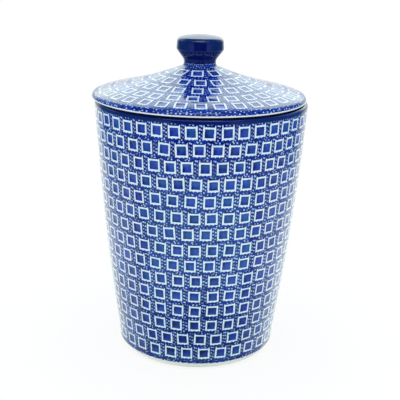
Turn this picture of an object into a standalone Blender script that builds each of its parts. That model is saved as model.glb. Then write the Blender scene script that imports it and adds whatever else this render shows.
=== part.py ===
"""Stoneware storage jar with a lift-off lid, at its real size.

Run it with: blender --background --python part.py
Units are metres and +Z is up. The origin is the centre of the jar's foot, on the table.
The jar is three clay pieces. The body was formed as one open pot. The lid drops into its mouth.
The knob was formed by itself and luted to the lid's neck stub with slip.
"""

import math

import bpy

# Jar body
JAR_HEIGHT = 0.1707
RIM_RADIUS = 0.0701
FOOT_WALL_RADIUS = 0.0524
WALL_SWELL = 0.0021
WALL = 0.0055
FLOOR = 0.0065
RIM_BAND = 0.0090
RIM_OUTER_ROUND = 0.0022
RIM_INNER_ROUND = 0.0015
FOOT_ROUND = 0.0070
FOOT_RING_WIDTH = 0.0065
FOOT_RECESS = 0.0016
FOOT_RECESS_SLOPE = 0.0030
FOOT_RECESS_ROUND = 0.0010
INSIDE_CORNER_ROUND = 0.0090

# Lid
SEAT_GAP = 0.0003
LID_PLAY = 0.0022
LID_EDGE_HEIGHT = 0.0040
LID_RISE = 0.0148
LID_WALL = 0.0045
LID_EDGE_ROUND = 0.0024
LID_UNDER_ROUND = 0.0012
FLANGE_DEPTH = 0.0100
FLANGE_WALL = 0.0040
FLANGE_TIP_ROUND = 0.0015
FLANGE_ROOT_ROUND = 0.0020
# The lid lies against one side of its play, this share of the way to touching.
lid_shift_share = 0.70
# The lid's cone is hollow-backed: this share of its rise comes from the curve and the rest is straight.
lid_curve_share = 0.21

# Neck stub, the flared middle of the lid that the knob is luted to
CROWN_RADIUS = 0.0165
NECK_RADIUS = 0.0105
FLARE_HEIGHT = 0.0023
FLARE_ROUND = 0.0030
STUB_HEIGHT = 0.0023

# Knob
SLIP_GAP = 0.0003
KNOB_NECK_HEIGHT = 0.0017
KNOB_UNDER_HEIGHT = 0.0062
KNOB_BELLY_RADIUS = 0.0155
KNOB_BELLY_HEIGHT = 0.0075
KNOB_TOP_RADIUS = 0.0147
KNOB_CROWN_RISE = 0.0020
KNOB_NECK_ROUND = 0.0052
KNOB_BELLY_ROUND = 0.0030
KNOB_TOP_ROUND = 0.0041

# Fineness of the turned surfaces
JAR_SIDES = 64
KNOB_SIDES = 48
WALL_STEPS = 7
CONE_STEPS = 6
CROWN_STEPS = 3
ARC_STEP = math.radians(25)
MERGE = 0.00005

# A fillet takes at most this share of a run beside it, and twice that where the run's far end is sharp.
fillet_limit_share = 0.48

# Colours of the fired glazes, with roughness
STAMPED_BLUE = (0.045, 0.10, 0.42, 1.0)
LID_BLUE = (0.07, 0.14, 0.50, 1.0)
NAVY = (0.004, 0.012, 0.055, 1.0)
GLAZE_ROUGHNESS = 0.12

# Sizes that follow from the ones above
LID_RADIUS = RIM_RADIUS
LID_SHIFT = LID_PLAY * lid_shift_share
SEAT_HEIGHT = JAR_HEIGHT + SEAT_GAP
LID_TOP_EDGE = SEAT_HEIGHT + LID_EDGE_HEIGHT
CROWN_HEIGHT = LID_TOP_EDGE + LID_RISE
STUB_TOP = CROWN_HEIGHT + FLARE_HEIGHT + STUB_HEIGHT


def outer_wall(height):
    """Radius of the jar's outside at a height: a straight taper with a slight swell."""
    along = height / JAR_HEIGHT
    taper = FOOT_WALL_RADIUS + (RIM_RADIUS - FOOT_WALL_RADIUS) * along
    return taper + 4 * WALL_SWELL * along * (1 - along)


def inner_wall(height):
    """Radius of the jar's inside at a height."""
    return outer_wall(height) - WALL


def wall_run(radius_at, start, end):
    """Corners down or up a wall from one height to another, both ends included."""
    heights = [start + (end - start) * step / WALL_STEPS for step in range(WALL_STEPS + 1)]
    return [(radius_at(height), height, 0) for height in heights]


def lid_top(radius):
    """Height of the lid's upper face at a radius: a low cone that steepens towards the knob."""
    along = (LID_RADIUS - radius) / (LID_RADIUS - CROWN_RADIUS)
    return LID_TOP_EDGE + LID_RISE * ((1 - lid_curve_share) * along + lid_curve_share * along**2)


def cone_run(height_at, start, end):
    """Corners along the lid from one radius to another, both ends included."""
    radii = [start + (end - start) * step / CONE_STEPS for step in range(CONE_STEPS + 1)]
    return [(radius, height_at(radius), 0) for radius in radii]


def crown_run(radius, rim, rise):
    """Corners of a shallow dome from its top centre outwards, stopping short of its rim."""
    shares = [step / CROWN_STEPS for step in range(CROWN_STEPS)]
    return [(radius * share, rim + rise * (1 - share**2), 0) for share in shares]


def fillet_room(neighbour, length):
    """Length of the run towards a neighbouring corner that a fillet may use."""
    return fillet_limit_share * length * (1 if neighbour[2] else 2)


def fillet(before, corner, after):
    """Points of the arc that rounds one corner of an outline, or the corner itself if it is sharp."""
    radius = corner[2]
    back = (before[0] - corner[0], before[1] - corner[1])
    ahead = (after[0] - corner[0], after[1] - corner[1])
    back_length = math.hypot(*back)
    ahead_length = math.hypot(*ahead)
    back = (back[0] / back_length, back[1] / back_length)
    ahead = (ahead[0] / ahead_length, ahead[1] / ahead_length)
    half_angle = math.acos(max(-1, min(1, back[0] * ahead[0] + back[1] * ahead[1]))) / 2
    turn = math.pi - 2 * half_angle
    if radius == 0 or turn < ARC_STEP / 4:
        return [(corner[0], corner[1])]
    room = min(fillet_room(before, back_length), fillet_room(after, ahead_length))
    tangent = min(radius / math.tan(half_angle), room)
    radius = tangent * math.tan(half_angle)
    middle = (back[0] + ahead[0], back[1] + ahead[1])
    middle_length = math.hypot(*middle)
    reach = tangent / math.cos(half_angle)
    centre = (corner[0] + middle[0] / middle_length * reach, corner[1] + middle[1] / middle_length * reach)
    first = math.atan2(corner[1] + back[1] * tangent - centre[1], corner[0] + back[0] * tangent - centre[0])
    last = math.atan2(corner[1] + ahead[1] * tangent - centre[1], corner[0] + ahead[0] * tangent - centre[0])
    sweep = (last - first + math.pi) % (2 * math.pi) - math.pi
    steps = max(1, math.ceil(turn / ARC_STEP))
    angles = [first + sweep * step / steps for step in range(steps + 1)]
    return [(centre[0] + radius * math.cos(a), centre[1] + radius * math.sin(a)) for a in angles]


def rounded(corners):
    """Outline through corners (radius, height, fillet), each corner rounded by its own fillet."""
    points = [corners[0][:2]]
    for before, corner, after in zip(corners, corners[1:], corners[2:]):
        points += fillet(before, corner, after)
    return points + [corners[-1][:2]]


def glaze(name, colour):
    """Glazed stoneware of one colour."""
    material = bpy.data.materials.new(name)
    material.use_nodes = True
    shader = material.node_tree.nodes["Principled BSDF"]
    shader.inputs["Base Color"].default_value = colour
    shader.inputs["Roughness"].default_value = GLAZE_ROUGHNESS
    shader.inputs["Metallic"].default_value = 0
    return material


def turned(name, corners, sides, material, collection):
    """One turned clay piece: its half section, from the axis round to the axis, spun about Z."""
    outline = rounded(corners)
    mesh = bpy.data.meshes.new(name)
    vertices = [(radius, 0, height) for radius, height in outline]
    edges = [(index, index + 1) for index in range(len(outline) - 1)]
    mesh.from_pydata(vertices, edges, [])
    mesh.materials.append(material)
    piece = bpy.data.objects.new(name, mesh)
    collection.objects.link(piece)
    screw = piece.modifiers.new("turn", "SCREW")
    screw.axis = "Z"
    screw.angle = 2 * math.pi
    screw.steps = sides
    screw.render_steps = sides
    screw.use_merge_vertices = True
    screw.merge_threshold = MERGE
    screw.use_smooth_shade = True
    return piece


def jar_corners():
    """Half section of the body: inside floor, inside wall, rim, outside wall, foot ring, recess."""
    mouth = inner_wall(JAR_HEIGHT)
    ring_outer = outer_wall(FOOT_ROUND)
    ring_inner = ring_outer - FOOT_ROUND - FOOT_RING_WIDTH
    inside = wall_run(inner_wall, FLOOR + 2 * INSIDE_CORNER_ROUND, JAR_HEIGHT - RIM_BAND)
    outside = wall_run(outer_wall, JAR_HEIGHT - RIM_BAND, FLOOR + FOOT_ROUND)
    return [
        (0, FLOOR, 0),
        (inner_wall(FLOOR), FLOOR, INSIDE_CORNER_ROUND),
        *inside,
        (mouth, JAR_HEIGHT, RIM_INNER_ROUND),
        (RIM_RADIUS, JAR_HEIGHT, RIM_OUTER_ROUND),
        *outside,
        (ring_outer, 0, FOOT_ROUND),
        (ring_inner, 0, FOOT_RECESS_ROUND),
        (ring_inner - FOOT_RECESS_SLOPE, FOOT_RECESS, FOOT_RECESS_ROUND),
        (0, FOOT_RECESS, 0),
    ]


def lid_corners():
    """Half section of the lid: neck stub, flare, cone, edge, seat, flange and hollow underside."""
    flange_tip = SEAT_HEIGHT - FLANGE_DEPTH
    flange_outer = inner_wall(JAR_HEIGHT) - LID_PLAY
    tip_outer = inner_wall(flange_tip) - LID_PLAY
    tip_inner = tip_outer - FLANGE_WALL
    flange_inner = flange_outer - FLANGE_WALL

    def lid_under(radius):
        """Height of the hollow underside, one wall below the top."""
        return lid_top(radius) - LID_WALL

    return [
        (0, STUB_TOP, 0),
        (NECK_RADIUS, STUB_TOP, 0),
        (NECK_RADIUS, CROWN_HEIGHT + FLARE_HEIGHT, FLARE_ROUND),
        *cone_run(lid_top, CROWN_RADIUS, LID_RADIUS - 2 * LID_EDGE_ROUND),
        (LID_RADIUS, lid_top(LID_RADIUS), LID_EDGE_ROUND),
        (LID_RADIUS, SEAT_HEIGHT, LID_UNDER_ROUND),
        (flange_outer, SEAT_HEIGHT, 0),
        (tip_outer, flange_tip, FLANGE_TIP_ROUND),
        (tip_inner, flange_tip, FLANGE_TIP_ROUND),
        (flange_inner, lid_under(flange_inner), FLANGE_ROOT_ROUND),
        *cone_run(lid_under, flange_inner - FLANGE_WALL, CROWN_RADIUS),
        (0, CROWN_HEIGHT - LID_WALL, 0),
    ]


def knob_corners():
    """Half section of the knob: domed top, belly, cone under the belly, neck and flat foot."""
    foot = STUB_TOP + SLIP_GAP
    neck_top = foot + KNOB_NECK_HEIGHT
    belly_foot = neck_top + KNOB_UNDER_HEIGHT
    belly_top = belly_foot + KNOB_BELLY_HEIGHT
    return [
        *crown_run(KNOB_TOP_RADIUS, belly_top, KNOB_CROWN_RISE),
        (KNOB_TOP_RADIUS, belly_top, KNOB_TOP_ROUND),
        (KNOB_BELLY_RADIUS, belly_foot, KNOB_BELLY_ROUND),
        (NECK_RADIUS, neck_top, KNOB_NECK_ROUND),
        (NECK_RADIUS, foot, 0),
        (0, foot, 0),
    ]


def main():
    for old in list(bpy.data.objects):
        bpy.data.objects.remove(old)
    jar = bpy.data.collections.new("storage_jar")
    bpy.context.scene.collection.children.link(jar)

    turned("jar_body", jar_corners(), JAR_SIDES, glaze("stamped_blue_glaze", STAMPED_BLUE), jar)

    # The lid and its knob hang from one empty on the lid's own axis, beside the jar's.
    lid_axis = bpy.data.objects.new("lid_axis", None)
    jar.objects.link(lid_axis)
    lid_axis.location = (-LID_SHIFT, 0, 0)
    lid = turned("lid", lid_corners(), JAR_SIDES, glaze("stamped_lid_glaze", LID_BLUE), jar)
    knob = turned("knob", knob_corners(), KNOB_SIDES, glaze("navy_glaze", NAVY), jar)
    lid.parent = lid_axis
    knob.parent = lid_axis


main()
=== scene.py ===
"""Finish of a stoneware storage jar: stamped hollow squares on a stippled ground, under clear glaze.

The jar is three clay pieces: the body, the lid with its neck stub, and the knob luted to the stub.
Each piece is turned, so each is a half section carried round its own upright axis. The squares lie
in rows round the body and the lid, and their outlines stand a little proud, as thick slip does.
Metres throughout, with +Z up. The side that the photograph shows faces -Y.
"""

import logging
import math
from collections.abc import Callable
from dataclasses import dataclass, field
from enum import Enum

import bpy
import numpy as np
from bpy.types import Material, NodeSocket, Object, World
from mathutils import Matrix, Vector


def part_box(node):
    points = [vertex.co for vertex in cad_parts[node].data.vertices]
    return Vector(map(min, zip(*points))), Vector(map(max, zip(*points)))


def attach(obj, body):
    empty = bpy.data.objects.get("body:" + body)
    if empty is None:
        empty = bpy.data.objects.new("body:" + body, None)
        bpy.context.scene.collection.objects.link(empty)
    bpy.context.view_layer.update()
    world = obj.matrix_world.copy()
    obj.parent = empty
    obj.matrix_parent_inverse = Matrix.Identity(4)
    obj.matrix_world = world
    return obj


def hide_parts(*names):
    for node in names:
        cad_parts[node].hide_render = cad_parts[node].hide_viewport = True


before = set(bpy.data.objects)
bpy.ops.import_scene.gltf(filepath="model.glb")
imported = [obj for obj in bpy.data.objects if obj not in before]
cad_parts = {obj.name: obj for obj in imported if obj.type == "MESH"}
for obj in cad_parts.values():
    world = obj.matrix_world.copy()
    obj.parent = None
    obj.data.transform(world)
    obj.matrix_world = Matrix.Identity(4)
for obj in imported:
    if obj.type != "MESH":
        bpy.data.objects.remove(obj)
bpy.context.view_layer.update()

MILLIMETRE = 0.001
TURN = 2 * math.pi
ARC_STEP = math.radians(7)
LEAST_TURN = ARC_STEP / 4
SHARP_ANGLE = math.radians(50)
# Metres: the gap between the lid's seat and the rim, how far the knob's foot reaches down into the
# gap under it, and how far the last box of a baking map runs on past the outline's end.
SEAT_GAP = 0.0003
KNOB_SINK = 0.00025
PAST_END = 1

STAMP_MAP = "StampMap"
BAKE_MAP = "OFBake"

# Columns of a face corner's values: point number, the stamp map's two values, azimuth, way along.
POINT, ACROSS, UP, AZIMUTH, ALONG = range(5)

Colour = tuple[float, float, float, float]

# Settings of a node that blends two colours, and of one that eases between two values.
BLEND = {"data_type": "RGBA", "output": "Result"}
EASED = {"interpolation_type": "SMOOTHSTEP"}

log = logging.getLogger("storage_jar")


class Slot(Enum):
    """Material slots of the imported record."""

    BODY = "stamped_glaze"
    LID = "stamped_lid_glaze"
    KNOB = "navy_glaze"


@dataclass(frozen=True)
class Corner:
    """One corner of a half section: its radius, its height, and the fillet that rounds it."""

    radius: float
    height: float
    fillet: float = 0.0
    mark: str = ""


class Section:
    """A half section, walked from the axis underneath, round the outside, to the axis on top."""

    fillet_limit_share = 0.96
    merge_parts = 20

    def __init__(self, corners: list[Corner]) -> None:
        """Rounds the corners and measures the way along the outline.

        Args:
            corners: the corners in walking order, the first and last on the axis.
        """
        points: list[tuple[float, float]] = [(corners[0].radius, corners[0].height)]
        marked: dict[str, int] = {}
        for before, corner, after in zip(corners, corners[1:], corners[2:]):
            arc = self._fillet(before, corner, after)
            if corner.mark:
                marked[corner.mark] = len(points) + len(arc) // 2
            points += arc
        points.append((corners[-1].radius, corners[-1].height))
        self.points = np.array(points)
        steps = np.hypot(*np.diff(self.points, axis=0).T)
        self.along = np.concatenate([[0.0], np.cumsum(steps)])
        self.length = float(self.along[-1])
        self.marks = {name: float(self.along[index]) for name, index in marked.items()}
        ahead = np.gradient(self.points, self.along, axis=0)
        ahead /= np.hypot(*ahead.T)[:, None]
        self.outward = np.stack([ahead[:, 1], -ahead[:, 0]], axis=1)

    def _fillet(self, before: Corner, corner: Corner, after: Corner) -> list[tuple[float, float]]:
        """Points of the arc that touches both runs beside a corner, or the corner if it is sharp.

        Args:
            before: the corner before.
            corner: the corner to round.
            after: the corner after.

        Returns:
            The points, in walking order.
        """
        here = np.array([corner.radius, corner.height])
        back = np.array([before.radius, before.height]) - here
        ahead = np.array([after.radius, after.height]) - here
        back_length = float(np.hypot(*back))
        ahead_length = float(np.hypot(*ahead))
        back /= back_length
        ahead /= ahead_length
        half = math.acos(max(-1.0, min(1.0, float(back @ ahead)))) / 2
        turn = math.pi - 2 * half
        if not corner.fillet or turn < LEAST_TURN:
            return [(corner.radius, corner.height)]
        room = self.fillet_limit_share * corner.fillet * min(
            back_length / (corner.fillet + before.fillet), ahead_length / (corner.fillet + after.fillet)
        )
        tangent = min(corner.fillet / math.tan(half), room)
        radius = tangent * math.tan(half)
        middle = (back + ahead) / np.hypot(*(back + ahead))
        centre = here + middle * tangent / math.cos(half)
        first = math.atan2(*(here + back * tangent - centre)[::-1])
        last = math.atan2(*(here + ahead * tangent - centre)[::-1])
        sweep = (last - first + math.pi) % TURN - math.pi
        angles = first + sweep * np.linspace(0, 1, math.ceil(turn / ARC_STEP) + 1)
        return [(centre[0] + radius * math.cos(a), centre[1] + radius * math.sin(a)) for a in angles]

    def _between(self, start: str, end: str) -> np.ndarray:
        """Which of the outline's points lie between two marks."""
        return (self.along >= self.marks[start]) & (self.along <= self.marks[end])

    def at_height(self, height: np.ndarray, start: str, end: str) -> np.ndarray:
        """Way along the outline where a rising stretch between two marks reaches each height."""
        stretch = self._between(start, end)
        return np.interp(height, self.points[stretch, 1], self.along[stretch])

    def at_radius(self, radius: np.ndarray, start: str, end: str) -> np.ndarray:
        """Way along the outline where an inward stretch between two marks reaches each radius."""
        stretch = self._between(start, end)
        return np.interp(-np.asarray(radius), -self.points[stretch, 0], self.along[stretch])

    def stations(self, start: float, end: float, longest: float) -> np.ndarray:
        """Places for mesh lines between two ways along: the outline's points, and more on long runs.

        Args:
            start: where the stretch starts.
            end: where it ends.
            longest: the longest step between two lines.

        Returns:
            The ways along, rising, with both ends.
        """
        closest = longest / self.merge_parts
        inside = self.along[(self.along > start + closest) & (self.along < end - closest)]
        knots = np.concatenate([[start], inside, [end]])
        runs = [
            np.linspace(low, high, max(2, math.ceil((high - low) / longest) + 1))[:-1]
            for low, high in zip(knots, knots[1:])
        ]
        return np.concatenate([*runs, [end]])

    def place(self, along: np.ndarray) -> list[np.ndarray]:
        """Radius, height and outward normal (radial, upward) at each way along the outline."""
        columns = (*self.points.T, *self.outward.T)
        return [np.interp(along, self.along, column) for column in columns]


@dataclass(frozen=True)
class Stamp:
    """The stamp: a hollow square with spurs at its top corners, and dots round it.

    Lengths are metres from the square's centre, but the places of the dots and of the teeth under
    its lower side are millimetres, as the material's nodes are. The rest says how far stamping by
    hand strays, and beyond_share how much of that is left where the surround ends.
    """

    inner: float = 2.72 * MILLIMETRE
    outer: float = 3.80 * MILLIMETRE
    slope: float = 0.40 * MILLIMETRE
    relief: float = 0.06 * MILLIMETRE
    surround: float = 0.60 * MILLIMETRE
    top_spur: float = 1.25 * MILLIMETRE
    low_spur: float = 0.30 * MILLIMETRE
    spur_lean_share: float = 0.25
    least_spur_share: float = 0.3
    most_spur_share: float = 1.3
    dots: tuple[tuple[float, float], ...] = (
        (-4.85, 4.45), (-4.85, 2.05), (-4.70, -0.35), (-4.85, -2.60),
        (5.00, 4.75), (4.75, 2.60), (4.80, 0.35), (4.70, -1.90), (5.00, -4.30),
        (-1.15, 5.05), (1.05, 4.90), (3.30, -5.00),
    )
    teeth: tuple[float, ...] = (-1.30, 1.10)
    pitch_across: float = 10.8 * MILLIMETRE
    pitch_up: float = 10.7 * MILLIMETRE
    seam: float = 0.3 * MILLIMETRE
    stray: float = 0.28 * MILLIMETRE
    slide: float = 0.45 * MILLIMETRE
    turn: float = math.radians(1.6)
    stretch_share: float = 0.025
    beyond_share: float = 0.5
    gap_limit_share: float = 0.94

    def reaches(self) -> np.ndarray:
        """Distances of the mesh lines from the centre: feet and crests of the outline, and beyond."""
        edges = [edge + side * self.slope / 2 for edge in (self.inner, self.outer) for side in (-1, 1)]
        return np.array([*edges, edges[-1] + self.surround])

    def rise(self, reach: np.ndarray) -> np.ndarray:
        """Lift of the surface: nothing on the crest of the outline, and minus the relief beside it."""
        feet = self.reaches()
        return self.relief * (np.interp(reach, feet[:4], [0, 1, 1, 0]) - 1)


@dataclass(frozen=True)
class Row:
    """One row of stamped squares round a piece."""

    along: float
    squares: int
    start_share: float

    def azimuths(self) -> np.ndarray:
        """Azimuth of each square's centre."""
        return (np.arange(self.squares) - self.squares // 2 + self.start_share) * TURN / self.squares


@dataclass
class Rings:
    """Mesh lines of one stretch of a turned piece, ready to be joined to the next stretch.

    Each array has a row for each line and a column for each point round it. Azimuth 0 faces -Y
    and rises towards +X. The stamp map counts squares round a row, and rows up the outline.
    """

    azimuth: np.ndarray
    along: np.ndarray
    lift: np.ndarray
    stamp_across: np.ndarray
    stamp_up: np.ndarray
    finish: int


@dataclass(frozen=True)
class BakeBox:
    """Where a stretch of the outline lies on the baking map, in shares of its side.

    The stretch is cut into strips of equal width round the piece, stacked upwards.
    """

    start: float
    end: float
    left_share: float
    right_share: float
    low_share: float
    high_share: float
    strips: int = 1


@dataclass
class TurnedSkin:
    """One closed skin round an upright axis, of plain stretches and stamped rows in walking order."""

    section: Section
    axis_x: float
    stamp: Stamp
    round_points: int
    longest_step: float
    stretches: list[Rings] = field(default_factory=list)
    bake_margin_share: float = 0.015

    def plain(self, start: float, end: float, finish: int, row: Row, rise: float = 0.0,
              sunk_start: bool = False, sunk_end: bool = False) -> None:
        """Adds a stretch without squares, its lines evenly spaced round the piece.

        Its stamp map carries on that of the row beside it, so the stipple is the same size.

        Args:
            start: where it starts along the outline.
            end: where it ends.
            finish: the finish number.
            row: the row beside it.
            rise: the stamp map's upward value at the start.
            sunk_start: whether the start meets the rows, and so is sunk by the relief.
            sunk_end: whether the end does.
        """
        stations = self.section.stations(start, end, self.longest_step)
        lift = np.zeros(len(stations))
        for sunk, away in ((sunk_start, stations - start), (sunk_end, end - stations)):
            if sunk:
                lift -= self.stamp.relief * np.interp(away, [0, self.longest_step], [1, 0])
        azimuth = -math.pi + TURN * np.arange(self.round_points) / self.round_points
        shape = (len(stations), self.round_points)
        origin = (-(row.squares // 2) + row.start_share - 0.5) * TURN / row.squares
        across = (np.append(azimuth, math.pi) - origin) * row.squares / TURN
        up = rise + (stations - stations[0]) / self.stamp.pitch_up
        lines = [np.broadcast_to(each, shape) for each in (azimuth, stations[:, None], lift[:, None])]
        self.stretches.append(Rings(*lines, across, up, finish))

    def stamped(self, rows: list[Row], first_border: float, last_border: float, seed: int) -> None:
        """Adds the rows of squares, with borders halfway between them.

        Args:
            rows: the rows in walking order.
            first_border: where the first row starts along the outline.
            last_border: where the last row ends.
            seed: the seed of the strays.
        """
        draw = np.random.default_rng(seed)
        borders = [first_border, *[(a.along + b.along) / 2 for a, b in zip(rows, rows[1:])], last_border]
        for number, (row, low, high) in enumerate(zip(rows, borders, borders[1:])):
            self.stretches.append(self._row(row, number, row.along - low, high - row.along, draw))

    def _row(self, row: Row, number: int, below: float, above: float, draw: np.random.Generator) -> Rings:
        """Works out one row: a grid for each square, warped as that square was stamped.

        A square's own grid turns, grows and slides as a whole. The strays fade to nothing at the
        border between two squares, so the borders stay shared. Distance across is divided by the
        radius to give azimuth, which keeps a square true on a cone.

        Args:
            row: the row.
            number: which row it is on the stamp map, from the first row along the outline.
            below: half the spacing to the row before.
            above: half the spacing to the row after.
            draw: the source of the strays.

        Returns:
            The row's mesh lines.
        """
        stamp = self.stamp
        reaches = stamp.reaches()
        low_crest, foot, beyond = reaches[2:]
        half_across = stamp.pitch_across / 2
        across = np.concatenate([[-half_across], -reaches[::-1], reaches])
        up = np.concatenate([[-below], -reaches[::-1], reaches, [above - stamp.seam]])
        u = across[None, None, :]
        v = up[:, None, None]
        reach = np.maximum(np.abs(u), np.abs(v))
        fade = np.interp(reach, [foot, beyond, half_across], [1.0, stamp.beyond_share, 0.0])
        shape = (1, row.squares, 1)
        angle = draw.normal(0, stamp.turn, shape)
        wide = 1 + draw.normal(0, stamp.stretch_share, shape)
        tall = 1 + draw.normal(0, stamp.stretch_share, shape)
        slide = draw.uniform(-stamp.slide, stamp.slide, shape)
        climb = draw.uniform(-stamp.stray, stamp.stray, shape)
        spurs = draw.uniform(stamp.least_spur_share, stamp.most_spur_share, shape)
        corner = (np.minimum(np.abs(u), np.abs(v)) >= low_crest) & (reach <= foot)
        spur = np.where(v > 0, stamp.top_spur, stamp.low_spur) * corner * spurs
        lean = spur * stamp.spur_lean_share * np.sign(u)
        u_new = (u * np.cos(angle) - v * np.sin(angle)) * wide + slide - lean
        v_new = (u * np.sin(angle) + v * np.cos(angle)) * tall + climb + spur * np.sign(v)
        along = row.along + (v + fade * (v_new - v))
        radius = self.section.place(along)[0]
        half_gap = math.pi * radius / row.squares
        squeeze = np.minimum(1, stamp.gap_limit_share * half_gap / beyond)
        lateral = np.where(np.abs(u) >= half_across, -half_gap, (u + fade * (u_new - u)) * squeeze)
        turned = row.azimuths()[None, :, None] + lateral / radius
        lift = np.broadcast_to(stamp.rise(reach), along.shape)
        lines = [each.reshape(len(up), -1) for each in (turned, along, lift)]
        cells = np.arange(row.squares)[:, None]
        stamp_across = (cells + 0.5 + across[None, :] / stamp.pitch_across).ravel()
        last_share = 0.5 - stamp.seam / stamp.pitch_up
        share_up = np.concatenate([[-0.5], up[1:-1] / stamp.pitch_up, [last_share]])
        return Rings(*lines, np.append(stamp_across, float(row.squares)), number + 0.5 + share_up, 0)

    def _points(self, rings: Rings) -> np.ndarray:
        """Points of a stretch: the outline carried round the axis, moved out along its normal.

        Args:
            rings: the stretch.

        Returns:
            One row of X, Y and Z for each point, line by line.
        """
        radius, height, out, up = self.section.place(rings.along)
        reach = radius + rings.lift * out
        x = self.axis_x + reach * np.sin(rings.azimuth)
        y = -reach * np.cos(rings.azimuth)
        return np.stack([x, y, height + rings.lift * up], axis=-1).reshape(-1, 3)

    @staticmethod
    def _corners(rings: Rings, first: int) -> tuple[np.ndarray, np.ndarray]:
        """Corner values at each point of a stretch, and at the point beside it.

        Args:
            rings: the stretch.
            first: the number of its first point.

        Returns:
            Two arrays, with a row for each line and a column for each point round it.
        """
        lines, count = rings.azimuth.shape
        number = first + np.arange(lines * count).reshape(lines, count)
        across = np.broadcast_to(rings.stamp_across, (lines, count + 1))
        up = np.broadcast_to(rings.stamp_up[:, None], (lines, count))
        here = np.stack([number, across[:, :-1], up, rings.azimuth, rings.along], axis=-1)
        beside = np.roll(here, -1, axis=1)
        beside[:, :, ACROSS] = across[:, 1:]
        beside[:, -1, AZIMUTH] += TURN
        return here, beside

    @staticmethod
    def _fan(here: np.ndarray, beside: np.ndarray, tip: int, tip_along: float) -> np.ndarray:
        """Triangles that close a line to a point on the axis.

        Args:
            here: corner values of the line's points.
            beside: those of the points beside them.
            tip: the number of the point on the axis.
            tip_along: its way along the outline.

        Returns:
            The corners' values, one row for each triangle.
        """
        end = here.copy()
        end[:, POINT] = tip
        end[:, ALONG] = tip_along
        return np.stack([here, beside, end], axis=1)

    @staticmethod
    def _near(corners: np.ndarray, reference: np.ndarray, period: float) -> np.ndarray:
        """Moves corner values by whole turns to lie nearest others.

        Args:
            corners: the values.
            reference: the others.
            period: how many squares one turn counts.

        Returns:
            The moved values.
        """
        moved = corners.copy()
        for column, whole in ((ACROSS, period), (AZIMUTH, TURN)):
            turns = np.round((corners[:, column] - reference[:, column]) / whole)
            moved[:, column] = corners[:, column] - turns * whole
        return moved

    @staticmethod
    def _stitch(low: np.ndarray, high: np.ndarray) -> tuple[np.ndarray, np.ndarray]:
        """Triangles between two rings whose points don't line up.

        Every edge of either ring gets one triangle, and its third corner is where the other ring
        has got to when the edges of both are walked in the order of their middles.

        Args:
            low: azimuths round the lower ring, rising through one turn.
            high: azimuths round the upper ring, rising through one turn.

        Returns:
            For each lower edge the upper point it meets, and for each upper edge the lower point.
        """
        middles = [np.mod((ring + np.append(ring[1:], ring[0] + TURN)) / 2, TURN) for ring in (low, high)]
        order = [np.argsort(middle, kind="stable") for middle in middles]
        meets_high = np.searchsorted(middles[1][order[1]], middles[0], side="left") % len(high)
        meets_low = np.searchsorted(middles[0][order[0]], middles[1], side="right") % len(low)
        return order[1][meets_high], order[0][meets_low]

    def _join(self, low: np.ndarray, beside: np.ndarray, high: np.ndarray) -> list[np.ndarray]:
        """Stitches the last line of one stretch to the first line of the next.

        The strip belongs to the stretch below it, so the upper points take their count of squares
        from the lower line, read off by azimuth.

        Args:
            low: corner values of the lower line.
            beside: those of the points beside them.
            high: corner values of the upper line.

        Returns:
            Two batches of triangles.
        """
        meets_high, meets_low = self._stitch(low[:, AZIMUTH], high[:, AZIMUTH])
        start = low[0, AZIMUTH]
        knots = np.append(low[:, AZIMUTH], start + TURN)
        counts = np.append(low[:, ACROSS], beside[-1, ACROSS])
        period = counts[-1] - counts[0]
        high = high.copy()
        high[:, ACROSS] = np.interp(np.mod(high[:, AZIMUTH] - start, TURN) + start, knots, counts)
        foot = low[meets_low]
        tips = [self._near(ends, foot, period) for ends in (np.roll(high, -1, axis=0), high)]
        return [
            np.stack([low, beside, self._near(high[meets_high], low, period)], axis=1),
            np.stack([*tips, foot], axis=1),
        ]

    def _bake_map(self, faces: np.ndarray, boxes: list[BakeBox]) -> np.ndarray:
        """Baking map of a batch of faces: azimuth runs across a strip and the way along runs up it.

        Args:
            faces: the corners' values, one row for each face.
            boxes: the boxes of the baking map.

        Returns:
            Two map values for each corner.
        """
        azimuth, along = faces[:, :, AZIMUTH], faces[:, :, ALONG]
        middle_azimuth = azimuth.mean(axis=1, keepdims=True)
        middle_along = along.mean(axis=1, keepdims=True)
        across = np.zeros_like(azimuth)
        up = np.zeros_like(azimuth)
        margin = self.bake_margin_share
        for box in boxes:
            inside = (middle_along >= box.start) & (middle_along < box.end)
            turns = np.mod(middle_azimuth, TURN) / TURN * box.strips
            strip = np.minimum(np.floor(turns), box.strips - 1)
            share = turns - strip + (azimuth - middle_azimuth) / TURN * box.strips
            rise = np.clip((along - box.start) / (box.end - box.start), 0, 1)
            share, rise = (margin + (1 - 2 * margin) * each for each in (share, rise))
            tall = (box.high_share - box.low_share) / box.strips
            across = np.where(inside, box.left_share + (box.right_share - box.left_share) * share, across)
            up = np.where(inside, box.low_share + tall * (strip + rise), up)
        return np.stack([across, up], axis=-1)

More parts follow.
